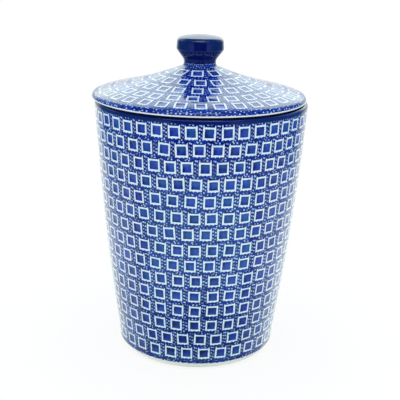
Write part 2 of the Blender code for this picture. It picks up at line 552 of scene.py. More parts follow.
    def build(self, name: str, finishes: list[Material], bake: list[BakeBox]) -> Object:
        """Makes the mesh object, with its stamp map and its baking map.

        Args:
            name: the object's name.
            finishes: the materials, in the order of the stretches' finish numbers.
            bake: the boxes of the baking map.

        Returns:
            The finished object, at the origin.
        """
        bottom, top = ([[self.axis_x, 0.0, self.section.points[end, 1]]] for end in (0, -1))
        points = [bottom]
        batches: list[tuple[np.ndarray, int]] = []
        first = 1
        low: tuple[np.ndarray, np.ndarray] | None = None
        for rings in self.stretches:
            points.append(self._points(rings))
            here, beside = self._corners(rings, first)
            first += rings.azimuth.size
            if low is None:
                batches.append((self._fan(here[0], beside[0], 0, 0.0)[:, [1, 0, 2]], rings.finish))
            else:
                batches += [(faces, finish) for faces in self._join(*low, here[0])]
            quads = np.stack([here[:-1], beside[:-1], beside[1:], here[1:]], axis=2)
            batches.append((quads.reshape(-1, *quads.shape[2:]), rings.finish))
            low = here[-1], beside[-1]
            finish = rings.finish
        batches.append((self._fan(*low, first, self.section.length), finish))

        mesh = bpy.data.meshes.new(name)
        numbers = [face for faces, _ in batches for face in faces[:, :, POINT].astype(int).tolist()]
        mesh.from_pydata(np.concatenate([*points, top]).tolist(), [], numbers)
        stamp = [faces[:, :, [ACROSS, UP]] for faces, _ in batches]
        baked = [self._bake_map(faces, bake) for faces, _ in batches]
        for label, maps in ((STAMP_MAP, stamp), (BAKE_MAP, baked)):
            values = np.concatenate([each.reshape(-1, 2) for each in maps])
            mesh.uv_layers.new(name=label).data.foreach_set("uv", values.astype(np.float32).ravel())
        for material in finishes:
            mesh.materials.append(material)
        numbers = np.concatenate([np.full(len(faces), finish, np.int32) for faces, finish in batches])
        mesh.polygons.foreach_set("material_index", numbers)
        mesh.shade_smooth()
        mesh.set_sharp_from_angle(angle=SHARP_ANGLE)
        mesh.update()
        piece = bpy.data.objects.new(name, mesh)
        bpy.context.scene.collection.objects.link(piece)
        return piece


def linear(code: str, strength: float = 1.0) -> Colour:
    """Linear colour of an sRGB hex value, times a strength.

    Args:
        code: six hex digits.
        strength: what red, green and blue are multiplied by.

    Returns:
        Linear red, green and blue, with alpha 1.
    """
    channels = [int(code[start:start + 2], 16) / 255 for start in (0, 2, 4)]
    curve = [c / 12.92 if c <= 0.04045 else ((c + 0.055) / 1.055) ** 2.4 for c in channels]
    return (*(strength * c for c in curve), 1.0)


class Shading:
    """One node tree, with a single way to add to it."""

    def __init__(self, owner: Material | World) -> None:
        """Switches the owner's nodes on and clears them.

        Args:
            owner: the material or the world.
        """
        owner.use_nodes = True
        self.tree = owner.node_tree
        self.tree.nodes.clear()

    def add(self, kind: str, *values, inputs: dict | None = None, output: int | str = 0,
            **settings) -> NodeSocket | None:
        """Adds a node with its settings, and sets or links its inputs.

        Args:
            kind: the node's type, without the ShaderNode that all their names start with, and
                after a space its operation where it has one.
            values: for each input that its settings leave in use, in order, a value, a colour's
                hex digits or the socket to link from.
            inputs: the same by the inputs' names.
            output: which output to give back.
            settings: properties of the node.

        Returns:
            The output, or nothing for a node that has none.
        """
        kind, _, operation = kind.partition(" ")
        node = self.tree.nodes.new("ShaderNode" + kind)
        if operation:
            node.operation = operation
        for name, value in settings.items():
            setattr(node, name, value)
        used = [socket for socket in node.inputs if socket.enabled]
        named = [(node.inputs[name], value) for name, value in (inputs or {}).items()]
        for socket, value in [*zip(used, values), *named]:
            if isinstance(value, NodeSocket):
                self.tree.links.new(value, socket)
            else:
                socket.default_value = linear(value) if isinstance(value, str) else value
        return node.outputs[output] if node.outputs else None


@dataclass(frozen=True, kw_only=True)
class Finish:
    """A clay surface: gloss and relief are shared, and each subclass paints. Sizes are millimetres."""

    name: str
    roughness: float = 0.05
    ior: float = 1.5
    relief_size: float = 8.0
    relief_detail: float = 1.0
    relief_strength: float = 0.3
    relief_depth: float = 0.06

    def colour(self, add: Callable, place: NodeSocket) -> NodeSocket:
        """Colour at a place on the piece, in millimetres. A subclass paints it."""
        raise NotImplementedError

    def build(self) -> Material:
        """Makes the material.

        Returns:
            The material.
        """
        material = bpy.data.materials.new(self.name)
        add = Shading(material).add
        place = add("VectorMath MULTIPLY", add("TexCoord", output="Object"), (1 / MILLIMETRE,) * 3)
        relief = add("TexNoise", place, 1 / self.relief_size, self.relief_detail)
        normal = add("Bump", inputs={
            "Height": relief, "Strength": self.relief_strength, "Distance": self.relief_depth * MILLIMETRE,
        })
        shader = add("BsdfPrincipled", inputs={
            "Base Color": self.colour(add, place), "Roughness": self.roughness, "IOR": self.ior,
            "Normal": normal,
        })
        add("OutputMaterial", shader)
        return material


@dataclass(frozen=True, kw_only=True)
class PlainGlaze(Finish):
    """Stoneware under one plain gloss glaze.

    To the eye: an even glassy colour, slightly deeper in places where the glaze lies thicker.
    """

    main: str
    patch: str
    patch_size: float = 6.0
    patch_detail: float = 3.0
    patch_range: tuple[float, float] = (0.35, 0.65)

    def colour(self, add: Callable, place: NodeSocket) -> NodeSocket:
        """Main colour, with soft patches of the other."""
        cloud = add("TexNoise", place, 1 / self.patch_size, self.patch_detail)
        return add("Mix", add("MapRange", cloud, *self.patch_range), self.main, self.patch, **BLEND)


@dataclass(frozen=True, kw_only=True)
class BareClay(PlainGlaze):
    """Unglazed fired stoneware, where the glaze was wiped off so the pieces don't stick in the kiln.

    To the eye: matt, warm pale grey, with fine darker grit.
    """

    name: str = "bare_stoneware"
    roughness: float = 0.85
    relief_size: float = 0.8
    relief_detail: float = 3.0
    relief_strength: float = 0.6
    relief_depth: float = 0.10
    main: str = "D9CFBF"
    patch: str = "A3927B"
    patch_size: float = 0.8
    patch_range: tuple[float, float] = (0.55, 0.75)


@dataclass(frozen=True)
class Spot:
    """Where a shaded point lies, as sockets of one node tree, and the tree's way to add nodes.

    It has the height in millimetres, the noises, the stamp map's counts of squares and of rows,
    whether it is within the rows, and its offset from the square's centre, as one and in parts.
    """

    add: Callable
    height: NodeSocket
    noise: dict[str, NodeSocket]
    count: NodeSocket
    up: NodeSocket
    in_rows: NodeSocket
    here: NodeSocket
    aside: NodeSocket
    above: NodeSocket


@dataclass(frozen=True, kw_only=True)
class StampedGlaze(Finish):
    """Stoneware with stamped slip decoration under a clear gloss glaze.

    To the eye: pale hollow squares with slightly ragged edges, a mottled blue inside each, and a
    navy ground stippled with pale dots, all under one smooth glassy coat. Its slow swell bends the
    mirrored knob's edges a little.
    """

    stamp: Stamp
    rows: int
    roughness: float = 0.04
    relief_size: float = 14.0
    relief_depth: float = 0.08
    outline: str = "E8FAFF"
    outline_thin: str = "CAE6FF"
    interior: str = "2A45B2"
    interior_green: str = "1C5296"
    # Deep blue of pooled glaze, and of painted shade along the inside of the outline.
    interior_pooled_and_shaded: str = "0A196C"
    ground: str = "041680"
    ground_light: str = "1850DC"
    dot: str = "B6DAFF"
    stipple_dot: str = "C4DCFF"
    ring: str = "020A60"
    # Each noise's name, size and detail.
    noises: tuple[tuple[str, float, float], ...] = (
        ("edge", 0.9, 2.0), ("slip", 1.7, 2.0), ("pool", 3.2, 3.0), ("green", 6.0, 2.0),
        ("light", 1.7, 3.0), ("dots", 3.6, 2.0), ("drift", 1.5, 1.0), ("line", 1.8, 2.0),
        ("band", 2.2, 2.0),
    )
    edge_soft: float = 0.12
    edge_ragged: float = 0.55
    tooth_width: float = 0.55
    tooth_height: float = 0.60
    thin_range: tuple[float, float] = (0.42, 0.68)
    # Glaze pools and painted shade of the raised outline, by side, deepest along the left and the top: how
    # far in they start, how far in they are full, and how deep.
    left_pool_and_shade: tuple[float, float, float] = (2.6, 0.6, 0.8)
    top_pool_and_shade: tuple[float, float, float] = (1.5, 0.5, 0.6)
    low_pool_and_shade: tuple[float, float, float] = (1.4, 0.4, 0.45)
    right_pool_and_shade: tuple[float, float, float] = (1.2, 0.4, 0.35)
    mottle_strength: float = 2.2
    mottle_level: float = 1.05
    chance_strength: float = 0.5
    chance_level: float = 0.2
    green_range: tuple[float, float] = (0.45, 0.65)
    dot_radius: float = 0.55
    dot_stray: float = 1.1
    dot_core_share: float = 0.6
    dot_edge_share: float = 1.15
    dim_range: tuple[float, float] = (0.36, 0.56)
    dim_share: float = 0.25
    fleck_fade: float = 0.40
    fleck_spacing: float = 1.9
    stipple_spacing: float = 2.3
    stipple_random_share: float = 0.65
    light_range: tuple[float, float] = (0.48, 0.72)
    ring_range: tuple[float, float] = (1.20, 0.75)
    ring_share: float = 0.85
    line_soft: float = 0.15

    def colour(self, add: Callable, place: NodeSocket) -> NodeSocket:
        """Colour of the decoration, with the piece's own bands over it.

        Args:
            add: what adds a node.
            place: the place on the piece, in millimetres.

        Returns:
            The colour.
        """
        noise = {name: add("TexNoise", place, 1 / size, detail) for name, size, detail in self.noises}
        count = add("UVMap", uv_map=STAMP_MAP)
        pitch = (self.stamp.pitch_across / MILLIMETRE, self.stamp.pitch_up / MILLIMETRE, 0)
        middle = tuple(-step / 2 for step in pitch)
        here = add("VectorMath MULTIPLY_ADD", add("VectorMath FRACTION", count), pitch, middle)
        up = add("SeparateXYZ", count, output=1)
        in_rows = add("Math MULTIPLY", add("Math GREATER_THAN", up, 0.0),
                      add("Math LESS_THAN", up, float(self.rows)))
        aside, above, _ = add("SeparateXYZ", here).node.outputs
        height = add("SeparateXYZ", place, output=2)
        spot = Spot(add, height, noise, count, up, in_rows, here, aside, above)

        # Over the interior lies the outline, and over that the ground. The slip of the outline is
        # thin in patches, where the blue shows through.
        thin = add("MapRange", noise["slip"], *self.thin_range)
        slip = add("Mix", thin, self.outline, self.outline_thin, **BLEND)
        past_inner, past_outer = self._edges(spot)
        outside = add("Math MAXIMUM", add("Math SUBTRACT", 1.0, in_rows), past_outer)
        colour = self._interior(spot)
        for share, tint in ((past_inner, slip), (outside, self._ground(spot))):
            colour = add("Mix", share, colour, tint, **BLEND)
        return self._bands(spot, colour)

    def _edges(self, spot: Spot) -> list[NodeSocket]:
        """Masks for being past the outline's inner edge and past its outer edge.

        Args:
            spot: where the shaded point lies.

        Returns:
            The two masks.
        """
        add = spot.add
        ragged = add("Math MULTIPLY_ADD", spot.noise["edge"], self.edge_ragged, -self.edge_ragged / 2)
        far = add("SeparateXYZ", add("VectorMath ABSOLUTE", spot.here)).node.outputs
        reach = add("Math ADD", add("Math MAXIMUM", far[0], far[1]), ragged)
        toothed = reach
        lower = add("Math LESS_THAN", spot.above, 0.0)
        for tooth in self.stamp.teeth:
            off = add("Math ABSOLUTE", add("Math SUBTRACT", spot.aside, tooth))
            height = add("MapRange", off, 0.0, self.tooth_width, self.tooth_height, 0.0)
            toothed = add("Math SUBTRACT", toothed, add("Math MULTIPLY", height, lower))
        soft = self.edge_soft
        ends = ((reach, self.stamp.inner / MILLIMETRE), (toothed, self.stamp.outer / MILLIMETRE))
        return [add("MapRange", way, edge - soft, edge + soft, **EASED) for way, edge in ends]

    def _interior(self, spot: Spot) -> NodeSocket:
        """Colour inside the square: darker along its edges from glaze pools and painted shade of the
        outline, most along the left and the upper edge.

        Args:
            spot: where the shaded point lies.

        Returns:
            The colour.
        """
        add = spot.add
        inner = self.stamp.inner / MILLIMETRE
        pooled_and_shaded = 0.0
        # Painted shade: the darkening is strongest along the left and the upper edge, where the raised
        # outline shades the inside, over a real pooling of the glaze.
        for offset, side, (start, full, depth) in (
            (spot.aside, -1, self.left_pool_and_shade), (spot.above, 1, self.top_pool_and_shade),
            (spot.above, -1, self.low_pool_and_shade), (spot.aside, 1, self.right_pool_and_shade),
        ):
            pool = add("MapRange", offset, side * (inner - start), side * (inner - full), 0.0, depth)
            pooled_and_shaded = add("Math MAXIMUM", pooled_and_shaded, pool)
        chance = add("TexWhiteNoise", add("VectorMath FLOOR", spot.count), noise_dimensions="2D")
        for waver, strength, level in (
            (spot.noise["pool"], self.mottle_strength, self.mottle_level),
            (chance, self.chance_strength, self.chance_level),
        ):
            pooled_and_shaded = add("Math MULTIPLY_ADD", waver, strength, add("Math SUBTRACT", pooled_and_shaded, level))
        pooled_and_shaded = add("Clamp", pooled_and_shaded)
        greener = add("MapRange", spot.noise["green"], *self.green_range)
        colour = self.interior
        for share, tint in ((greener, self.interior_green), (pooled_and_shaded, self.interior_pooled_and_shaded)):
            colour = add("Mix", share, colour, tint, **BLEND)
        return colour

    def _ground(self, spot: Spot) -> NodeSocket:
        """Ground colour: navy with lighter blotches, and pale dots, each in a dark ring.

        Between the squares the dots keep their places round each stamp. Beyond the rows they are
        a close stipple. Small flecks lie between them anywhere.

        Args:
            spot: where the shaded point lies.

        Returns:
            The colour.
        """
        add = spot.add
        shift = self.dot_stray
        drift = spot.noise["drift"].node.outputs["Color"]
        drift = add("VectorMath MULTIPLY_ADD", drift, (shift, shift, 0), (-shift / 2, -shift / 2, 0))
        there = add("VectorMath ADD", spot.here, drift)
        pitch = self.stamp.pitch_across / MILLIMETRE
        stipple, fleck = (
            add("Math MULTIPLY", add("TexVoronoi", inputs={
                "Vector": spot.count, "Scale": pitch / spacing, "Randomness": self.stipple_random_share,
            }, voronoi_dimensions="2D"), spacing)
            for spacing in (self.stipple_spacing, self.fleck_spacing)
        )
        near = add("Math ADD", fleck, self.fleck_fade)
        for across, up in self.stamp.dots:
            gap = add("VectorMath DISTANCE", there, (across, up, 0), output="Value")
            near = add("Math MINIMUM", near, gap)
        near = add("Mix", spot.in_rows, stipple, near, data_type="FLOAT", output="Result")

        light = add("MapRange", spot.noise["light"], *self.light_range)
        ring = add("MapRange", near, *self.ring_range, 0.0, self.ring_share)
        bright = add("MapRange", spot.noise["dots"], *self.dim_range, self.dim_share, 1.0)
        edge, core = self.dot_radius * self.dot_edge_share, self.dot_radius * self.dot_core_share
        shown = add("Math MULTIPLY", add("MapRange", near, edge, core, **EASED), bright)
        dot = add("Mix", spot.in_rows, self.stipple_dot, self.dot, **BLEND)
        colour = self.ground
        for share, tint in ((light, self.ground_light), (ring, self.ring), (shown, dot)):
            colour = add("Mix", share, colour, tint, **BLEND)
        return colour

    def _bands(self, spot: Spot, colour: NodeSocket) -> NodeSocket:
        """Colour with the piece's own plain bands. A subclass paints them."""
        return colour

    def _over(self, spot: Spot, colour: NodeSocket, line: float, wander: float, tint: str) -> NodeSocket:
        """Colour with a tint below a wandering level line.

        Args:
            spot: where the shaded point lies.
            colour: the colour above the line.
            line: the line's height.
            wander: how far it wanders, in all.
            tint: the colour below it.

        Returns:
            The colour.
        """
        add = spot.add
        level = add("Math MULTIPLY_ADD", spot.noise["line"], wander, spot.height)
        middle = line + wander / 2
        above = add("MapRange", level, middle - self.line_soft, middle + self.line_soft)
        return add("Mix", above, tint, colour, **BLEND)


@dataclass(frozen=True, kw_only=True)
class BodyGlaze(StampedGlaze):
    """The body's decoration: the rows, a navy band under the rim, and a pale line at the foot.

    To the eye: the blue is darker towards the foot, where painted shade darkens it. It stops
    just above the foot on a ragged line, below which the clear glaze shows the pale clay, with a
    thin greenish roll at its edge.
    """

    plain_band: str = "0A1B62"
    band_wander: float = 0.08
    band_soft: tuple[float, float] = (-0.02, 0.06)
    # Painted shade: a gamma darkens the blue towards the foot, fully at the lower height and not at all at
    # the upper one, in millimetres.
    painted_foot_shade: float = 1.26
    painted_foot_shade_low: float = 20.0
    painted_foot_shade_high: float = 72.0
    foot: str = "F2FAF4"
    foot_line: float = 5.2
    foot_wander: float = 1.4
    foot_roll: str = "DCE6B4"
    roll_line: float = 2.4
    roll_wander: float = 0.8

    def _bands(self, spot: Spot, colour: NodeSocket) -> NodeSocket:
        """Adds the plain band above the rows, the painted shade that darkens the blue towards the foot,
        and the pale line at the foot.

        Args:
            spot: where the shaded point lies.
            colour: the decorated colour.

        Returns:
            The colour.
        """
        add = spot.add
        level = add("Math MULTIPLY_ADD", spot.noise["band"], self.band_wander, spot.up)
        above = add("MapRange", level, *(self.rows + soft for soft in self.band_soft))
        colour = add("Mix", above, colour, self.plain_band, **BLEND)
        # Painted shade: the blue darkens towards the foot.
        foot_shade_gamma = add("MapRange", spot.height, self.painted_foot_shade_low, self.painted_foot_shade_high, self.painted_foot_shade, 1.0, **EASED)
        colour = add("Gamma", colour, foot_shade_gamma)
        colour = self._over(spot, colour, self.foot_line, self.foot_wander, self.foot)
        return self._over(spot, colour, self.roll_line, self.roll_wander, self.foot_roll)


@dataclass(frozen=True, kw_only=True)
class LidGlaze(StampedGlaze):
    """The lid's decoration: rows on the cone, a stippled shoulder, and a white line at the low edge.

    To the eye: the glaze has broken to white where it ran thin over the lid's lower edge, and the
    recessed strip under that edge is painted near-black, as painted shadow of the gap between lid and rim.
    """

    # Painted shade: the lid's slip is a darker copy of the body's, which holds it down under the brighter
    # light and reflections on the lid.
    outline: str = "D4E6FA"
    outline_thin: str = "AECEF2"
    dot: str = "7098EC"
    stipple_dot: str = "A8CCFF"
    stipple_spacing: float = 2.4
    fleck_fade: float = 0.45
    edge: str = "E8F0F2"
    edge_line: float = 172.7
    edge_wander: float = 0.4
    # Painted shadow: this near-black colour under the lid's low edge stands in for the shade in the gap
    # between lid and rim.
    under: str = "04060C"
    gap_shadow_line: float = 171.9
    gap_shadow_wander: float = 0.1

    def _bands(self, spot: Spot, colour: NodeSocket) -> NodeSocket:
        """Adds the white line at the low edge and the painted shadow of the gap under it."""
        colour = self._over(spot, colour, self.edge_line, self.edge_wander, self.edge)
        # Painted shadow of the gap between the lid's edge and the rim.
        return self._over(spot, colour, self.gap_shadow_line, self.gap_shadow_wander, self.under)


@dataclass
class JarBody:
    """The pot: foot ring, tapering stamped wall, plain band, rounded rim and plain inside."""

    height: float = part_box("jar_body")[1].z
    rim_radius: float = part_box("jar_body")[1].y
    foot_radius: float = 0.0524
    swell: float = 0.0021
    wall: float = 0.0055
    floor: float = 0.0065
    rim_band: float = 0.0090
    rim_outer_round: float = 0.0022
    rim_inner_round: float = 0.0015
    rim_wiped: float = 0.0010
    foot_round: float = 0.0070
    foot_glazed_share: float = 0.6
    ring_width: float = 0.0065
    recess: float = 0.0016
    recess_slope: float = 0.0030
    recess_round: float = 0.0010
    inside_round: float = 0.0090
    top_row_height: float = 0.1624
    row_spacing: float = 0.01085
    row_closing: float = 0.0000102
    squares: tuple[int, ...] = (41, 40, 40, 40, 37, 38, 36, 36, 34, 34, 33, 33, 32, 32, 31)
    start_shares: tuple[float, ...] = (
        0.52, 0.97, 0.33, 0.82, 0.56, 0.74, 0.40, 0.83, 0.63, 0.97, 0.91, 0.93, 0.89, 0.26, 0.52,
    )
    stamp: Stamp = field(default_factory=Stamp)
    seed: int = 7
    wall_points: int = 24
    inside_points: int = 16
    round_points: int = 160
    longest_step: float = 0.006
    pole_gap: float = 0.004

    def outer(self, height: float) -> float:
        """Outside radius at a height: a straight taper with a slight swell.

        Args:
            height: the height above the foot.

        Returns:
            The radius.
        """
        along = height / self.height
        taper = self.foot_radius + (self.rim_radius - self.foot_radius) * along
        return taper + 4 * self.swell * along * (1 - along)

    def section(self) -> Section:
        """The body's half section, from under the foot to the inside floor.

        Returns:
            The section.
        """
        ring_outer = self.outer(self.foot_round)
        ring_inner = ring_outer - self.foot_round - self.ring_width
        low, high = self.floor + self.foot_round, self.height - self.rim_band
        rising = np.linspace(low, high, self.wall_points)
        falling = np.linspace(high, self.floor + 2 * self.inside_round, self.inside_points)
        return Section([
            Corner(0, self.recess),
            Corner(ring_inner - self.recess_slope, self.recess, self.recess_round),
            Corner(ring_inner, 0, self.recess_round),
            Corner(ring_outer, 0, self.foot_round, "foot"),
            *[Corner(self.outer(z), z) for z in rising],
            Corner(self.rim_radius, self.height, self.rim_outer_round, "rim_outer"),
            Corner(self.rim_radius - self.wall, self.height, self.rim_inner_round, "rim_inner"),
            *[Corner(self.outer(z) - self.wall, z) for z in falling],
            Corner(self.outer(self.floor) - self.wall, self.floor, self.inside_round),
            Corner(0, self.floor),
        ])

    def rows(self, section: Section) -> list[Row]:
        """The rows from the foot up: evenly spaced, a little closer towards the foot.

        Args:
            section: the body's half section.

        Returns:
            The rows.
        """
        number = np.arange(len(self.squares))
        heights = self.top_row_height - self.row_spacing * number + self.row_closing * number**2
        along = section.at_height(heights, "foot", "rim_outer")
        made = [Row(float(a), n, s) for a, n, s in zip(along, self.squares, self.start_shares)]
        return made[::-1]

    def build(self, finishes: list[Material]) -> Object:
        """Makes the body.

        Args:
            finishes: the decorated glaze, the plain glaze inside, and the foot's and seat's bare clay.

        Returns:
            The finished piece.
        """
        section = self.section()
        rows = self.rows(section)
        first, last = rows[0], rows[-1]
        pitch = self.stamp.pitch_up
        gap = self.stamp.seam
        ring_edge = section.marks["foot"] - self.foot_glazed_share * self.foot_round
        rim_top = section.marks["rim_outer"] + self.rim_outer_round + self.rim_wiped
        seat_end = section.marks["rim_inner"] - self.rim_inner_round
        first_border = first.along - pitch / 2
        last_border = last.along + pitch / 2
        below = (ring_edge + gap - first_border) / pitch
        top = float(len(rows))
        skin = TurnedSkin(section, 0.0, self.stamp, self.round_points, self.longest_step)
        skin.plain(self.pole_gap, ring_edge, 2, first)
        skin.plain(ring_edge + gap, first_border - gap, 0, first, below, sunk_end=True)
        skin.stamped(rows, first_border, last_border, self.seed)
        skin.plain(last_border, rim_top - gap, 0, last, top, sunk_start=True)
        skin.plain(rim_top, seat_end - gap, 2, last, top + 1)
        skin.plain(seat_end, section.length - self.pole_gap, 1, last)
        piece = skin.build("jar_body_glazed", finishes, [
            BakeBox(0, ring_edge, 0.78, 1.0, 0.0, 0.2),
            BakeBox(ring_edge, rim_top, 0.0, 0.76, 0.0, 1.0, strips=2),
            BakeBox(rim_top, section.length + PAST_END, 0.78, 1.0, 0.22, 1.0),
        ])
        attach(piece, "jar")
        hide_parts("jar_body")
        return piece


@dataclass
class Lid:
    """The lid: hollow cone with stamped rows, rounded edge, seat, locating flange and neck stub."""

    axis_x: float = (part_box("lid")[0].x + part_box("lid")[1].x) / 2
    radius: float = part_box("lid")[1].y
    seat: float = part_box("jar_body")[1].z + SEAT_GAP
    stub_top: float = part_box("lid")[1].z
    flange_tip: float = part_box("lid")[0].z
    edge_height: float = 0.0051
    rise: float = 0.0142
    wall: float = 0.0045
    edge_round: float = 0.0038
    cone_start_share: float = 1.1
    under_round: float = 0.0003
    under_lift: float = 0.0008
    under_start: float = 0.0672
    shoulder_start: float = 0.0548
    shoulder_round: float = 0.076
    flange_radius: float = 0.0624
    flange_lean: float = 0.0006
    flange_wall: float = 0.0040
    tip_round: float = 0.0015
    root_round: float = 0.0020
    crown_radius: float = 0.0165
    neck_radius: float = 0.0105
    flare_height: float = 0.0023
    flare_round: float = 0.0030
    curve_share: float = 0.45
    row_radii: tuple[float, ...] = (0.0618, 0.0517, 0.0405, 0.0297, 0.0185)
    squares: tuple[int, ...] = (33, 27, 23, 17, 10)
    start_shares: tuple[float, ...] = (0.12, 0.72, 0.89, 0.06, 0.90)
    last_row_share: float = 0.95
    stamp: Stamp = field(default_factory=Stamp)
    seed: int = 11
    hollow_points: int = 8
    cone_points: int = 24
    round_points: int = 160
    longest_step: float = 0.005
    pole_gap: float = 0.004
    stub_gap: float = 0.002

    def top(self, radius: float) -> float:
        """Height of the cone's upper face: it steepens to the neck, and rolls off at the edge.

        Args:
            radius: the distance from the lid's axis.

        Returns:
            The height.
        """
        along = (self.radius - radius) / (self.radius - self.crown_radius)
        rise = self.rise * ((1 - self.curve_share) * along + self.curve_share * along**2)
        fall = max(0.0, radius - self.shoulder_start) ** 2 / (2 * self.shoulder_round)
        return self.seat + self.edge_height + rise - fall

    def section(self) -> Section:
        """The lid's half section, from the hollow's middle to the middle of the stub's top.

        Returns:
            The section.
        """
        crown = self.top(self.crown_radius)
        flange_inner = self.flange_radius - self.flange_wall
        tip_outer = self.flange_radius - self.flange_lean
        hollow = np.linspace(self.crown_radius, flange_inner - self.flange_wall, self.hollow_points)
        cone_start = self.radius - self.cone_start_share * self.edge_round
        cone = np.linspace(cone_start, self.crown_radius, self.cone_points)
        return Section([
            Corner(0, crown - self.wall),
            *[Corner(r, self.top(r) - self.wall) for r in hollow],
            Corner(flange_inner, self.top(flange_inner) - self.wall, self.root_round),
            Corner(tip_outer - self.flange_wall, self.flange_tip, self.tip_round),
            Corner(tip_outer, self.flange_tip, self.tip_round),
            Corner(self.flange_radius, self.seat, 0, "seat"),
            Corner(self.under_start, self.seat, 0, "under"),
            Corner(self.radius, self.seat + self.under_lift, self.under_round),
            Corner(self.radius, self.top(self.radius), self.edge_round, "edge"),
            *[Corner(r, self.top(r)) for r in cone],
            Corner(self.neck_radius, crown + self.flare_height, self.flare_round, "flare"),
            Corner(self.neck_radius, self.stub_top, 0, "stub"),
            Corner(0, self.stub_top),
        ])

    def build(self, finishes: list[Material]) -> Object:
        """Makes the lid.

        Args:
            finishes: the decorated glaze, the plain glaze of the hollow and the flange, and the
                bare clay of the seat and under the knob.

        Returns:
            The finished piece.
        """
        section = self.section()
        along = section.at_radius(np.array(self.row_radii), "edge", "flare")
        rows = [Row(float(a), n, s) for a, n, s in zip(along, self.squares, self.start_shares)]
        first, last = rows[0], rows[-1]
        pitch = self.stamp.pitch_up
        gap = self.stamp.seam
        seat, under, stub = (section.marks[name] for name in ("seat", "under", "stub"))
        first_border = first.along - pitch / 2
        last_border = last.along + pitch / 2 * self.last_row_share
        below = (under - first_border) / pitch
        skin = TurnedSkin(section, self.axis_x, self.stamp, self.round_points, self.longest_step)
        skin.plain(self.pole_gap, seat - gap, 1, first)
        skin.plain(seat, under - gap, 2, first)
        skin.plain(under, first_border - gap, 0, first, below, sunk_end=True)
        skin.stamped(rows, first_border, last_border, self.seed)
        skin.plain(last_border, stub - gap, 0, last, float(len(rows)), sunk_start=True)
        skin.plain(stub, section.length - self.stub_gap, 2, last)
        piece = skin.build("lid_glazed", finishes, [
            BakeBox(0, under, 0.0, 1.0, 0.0, 0.24),
            BakeBox(under, stub, 0.0, 1.0, 0.26, 0.90),
            BakeBox(stub, section.length + PAST_END, 0.0, 1.0, 0.92, 1.0),
        ])
        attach(piece, "lid_with_knob")
        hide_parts("lid")
        return piece


@dataclass
class Knob:
    """The knob: neck, flaring underside, rounded belly and shallow domed top."""

    axis_x: float = (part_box("knob")[0].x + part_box("knob")[1].x) / 2
    foot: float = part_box("knob")[0].z - KNOB_SINK
    top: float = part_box("knob")[1].z
    neck_radius: float = 0.0105
    neck_height: float = 0.0020
    under_height: float = 0.0062
    belly_radius: float = 0.0155
    top_radius: float = 0.0150
    crown_rise: float = 0.0021
    neck_round: float = 0.0052
    belly_round: float = 0.0030
    top_round: float = 0.0034
    crown_start_share: float = 0.80
    crown_end_share: float = 0.05
    crown_points: int = 9
    map_squares: int = 12
    round_points: int = 144
    longest_step: float = 0.0012
    foot_gap: float = 0.002
    crown_gap: float = 0.0005

    def section(self) -> Section:
        """The knob's half section, from its foot to its crown.

        Returns:
            The section.
        """
        neck_top = self.foot + self.neck_height
        belly_top = self.top - self.crown_rise
        shares = np.linspace(self.crown_start_share, self.crown_end_share, self.crown_points)
        return Section([
            Corner(0, self.foot),
            Corner(self.neck_radius, self.foot, 0, "foot"),
            Corner(self.neck_radius, neck_top, self.neck_round),
            Corner(self.belly_radius, neck_top + self.under_height, self.belly_round),
            Corner(self.top_radius, belly_top, self.top_round),
            *[Corner(self.top_radius * s, belly_top + self.crown_rise * (1 - s * s)) for s in shares],
            Corner(0, self.top),
        ])

    def build(self, finishes: list[Material]) -> Object:
        """Makes the knob.

        Args:
            finishes: the navy glaze, and the bare clay of its foot.

        Returns:
            The finished piece.
        """
        section = self.section()
        foot = section.marks["foot"]
        stamp = Stamp()
        row = Row(0.0, self.map_squares, 0.0)
        skin = TurnedSkin(section, self.axis_x, stamp, self.round_points, self.longest_step)
        skin.plain(self.foot_gap, foot - stamp.seam, 1, row)
        skin.plain(foot, section.length - self.crown_gap, 0, row)
        piece = skin.build("knob_glazed", finishes, [
            BakeBox(0, foot, 0.0, 1.0, 0.0, 0.18),
            BakeBox(foot, section.length + PAST_END, 0.0, 1.0, 0.2, 1.0),
        ])
        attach(piece, "lid_with_knob")
        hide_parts("knob")
        return piece


@dataclass(frozen=True)
class Stage:
    """A change of the studio's light over a range of angles, in degrees."""

    first: float
    last: float
    light: Colour | NodeSocket


@dataclass(frozen=True)
class Patch:
    """Soft-edged patch of the studio, in degrees as the jar sees it.

    Sideways, 0 is towards the camera and 90 is +X. Upwards, 0 is the horizon.
    """

    left: float
    right: float
    low: float
    high: float
    soft: float
    light: Colour


